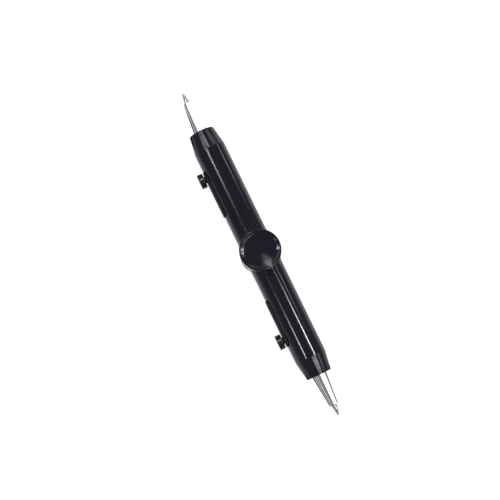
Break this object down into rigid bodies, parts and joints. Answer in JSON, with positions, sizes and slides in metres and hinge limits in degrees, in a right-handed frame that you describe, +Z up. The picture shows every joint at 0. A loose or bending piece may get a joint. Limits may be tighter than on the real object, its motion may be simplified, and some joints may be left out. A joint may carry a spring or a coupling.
{
  "type": "double-ended spinner pen",
  "caption": "Slim double-ended retractable ball-point pen with a slide knob on each half and a round hub that spins on a bearing between two dished finger caps.",
  "frame": {"origin": "on the surface that the lower finger cap rests on, under the spin axis", "axes": "+X along the barrels towards the right-hand point, +Y away from the slide knobs, +Z up along the spin axis"},
  "size_m": [0.139, 0.0174, 0.018],
  "materials": {
    "black_lacquer": "gloss black lacquer with a faint blue cast",
    "chrome": "polished chrome plate",
    "bearing_steel": "ground bearing steel",
    "spring_steel": "oil-blackened spring steel",
    "cage_polymer": "moulded natural nylon",
    "black_acetal": "moulded satin black acetal",
    "black_rubber": "plain black nitrile rubber",
    "refill_brass": "drawn brass tube",
    "nickel_silver": "turned nickel silver"
  },
  "bodies": {
    "spindle": {"finger_cap_upper": "black_lacquer", "finger_cap_lower": "black_lacquer", "cap_stud": "bearing_steel", "bearing_inner_ring": "bearing_steel"},
    "body": {"hub_housing": "black_lacquer", "bearing_outer_ring": "bearing_steel", "bearing_shield_upper": "bearing_steel", "bearing_shield_lower": "bearing_steel", "bearing_circlip": "spring_steel", "barrel_right": "black_lacquer", "barrel_left": "black_lacquer", "slide_guide_right": "black_acetal", "slide_guide_left": "black_acetal", "nose_cone_right": "chrome", "nose_cone_left": "chrome"},
    "ball_cage": {"bearing_cage": "cage_polymer", "bearing_ball_01": "bearing_steel", "bearing_ball_02": "bearing_steel", "bearing_ball_03": "bearing_steel", "bearing_ball_04": "bearing_steel", "bearing_ball_05": "bearing_steel", "bearing_ball_06": "bearing_steel", "bearing_ball_07": "bearing_steel", "bearing_ball_08": "bearing_steel", "bearing_ball_09": "bearing_steel", "bearing_ball_10": "bearing_steel"},
    "slide_right": {"carriage_right": "black_acetal", "slide_knob_right": "black_lacquer", "friction_ring_right": "black_rubber", "refill_tube_right": "refill_brass", "refill_point_right": "nickel_silver", "writing_ball_right": "bearing_steel"},
    "slide_left": {"carriage_left": "black_acetal", "slide_knob_left": "black_lacquer", "friction_ring_left": "black_rubber", "refill_tube_left": "refill_brass", "refill_point_left": "nickel_silver", "writing_ball_left": "bearing_steel"}
  },
  "joints": [
    {"name": "body_spin", "type": "hinge", "parent": "spindle", "child": "body", "pos_m": [0, 0, 0.009], "axis": [0, 0, 1], "continuous": true},
    {"name": "cage_spin", "type": "hinge", "parent": "spindle", "child": "ball_cage", "pos_m": [0, 0, 0.009], "axis": [0, 0, 1], "continuous": true},
    {"name": "right_slide", "type": "slide", "parent": "body", "child": "slide_right", "axis": [-1, 0, 0], "range_m": [0, 0.014]},
    {"name": "left_slide", "type": "slide", "parent": "body", "child": "slide_left", "axis": [1, 0, 0], "range_m": [0, 0.014]}
  ],
  "couplings": [
    {"joint": "cage_spin", "follows": "body_spin", "ratio": 0.5833}
  ]
}
